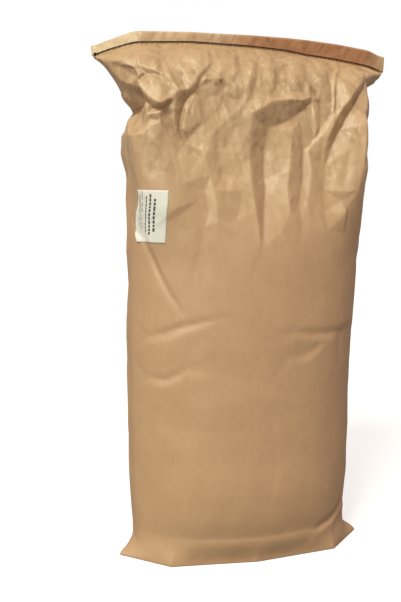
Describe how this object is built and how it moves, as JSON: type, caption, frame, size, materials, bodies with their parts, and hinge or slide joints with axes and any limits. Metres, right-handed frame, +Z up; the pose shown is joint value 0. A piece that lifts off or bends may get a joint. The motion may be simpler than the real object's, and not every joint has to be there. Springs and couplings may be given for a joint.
{
  "type": "paper sack",
  "caption": "Tall filled kraft paper sack standing upright, sewn shut under a folded paper tape, with a small side label.",
  "frame": {"origin": "centre of the base on the floor", "axes": "+Z up to the sewn mouth, the front with the label faces -Y, +X to the right seen from the front"},
  "size_m": [0.532, 0.2748, 0.8996],
  "materials": {
    "kraft": "natural brown kraft paper, slightly calendered",
    "tape": "lighter creped kraft tape",
    "thread": "dark navy twisted yarn",
    "label": "matt white label paper",
    "leaf": "dark green dried cut leaf, hidden inside"
  },
  "bodies": {
    "root": {"sack_tube": "kraft", "back_lap": "kraft", "bottom_patch": "kraft", "closure_tape": "tape", "needle_thread": "thread", "looper_thread": "thread", "label": "label", "leaf_fill": "leaf"}
  },
  "joints": []
}
